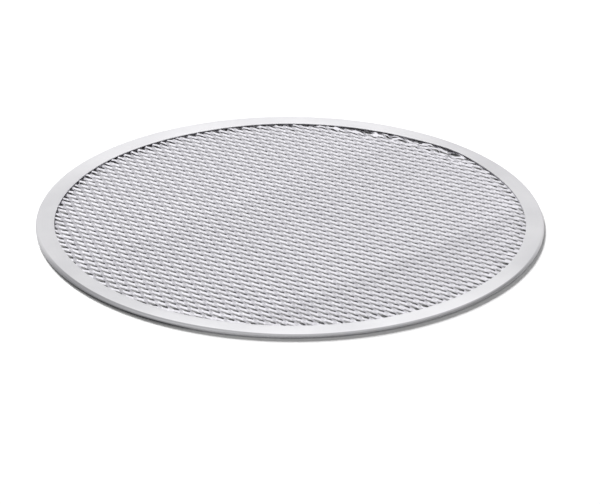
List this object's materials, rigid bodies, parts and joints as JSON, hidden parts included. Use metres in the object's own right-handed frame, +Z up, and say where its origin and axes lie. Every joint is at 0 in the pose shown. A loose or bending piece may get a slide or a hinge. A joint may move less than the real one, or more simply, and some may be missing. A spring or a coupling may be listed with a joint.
{
  "type": "pizza screen",
  "caption": "Flat round baking screen of raised expanded aluminium mesh, held all round in a folded sheet rim.",
  "frame": {"origin": "centre of the underside, on the surface that the screen lies on", "axes": "+Z up through the thickness, X and Y in the plane of the screen"},
  "size_m": [0.305, 0.305, 0.0025],
  "materials": {
    "rim": "satin, with the fine marks of the folding rolls",
    "mesh": "satin, as slit and stretched"
  },
  "bodies": {
    "root": {"rim": "rim", "mesh": "mesh"}
  },
  "joints": []
}
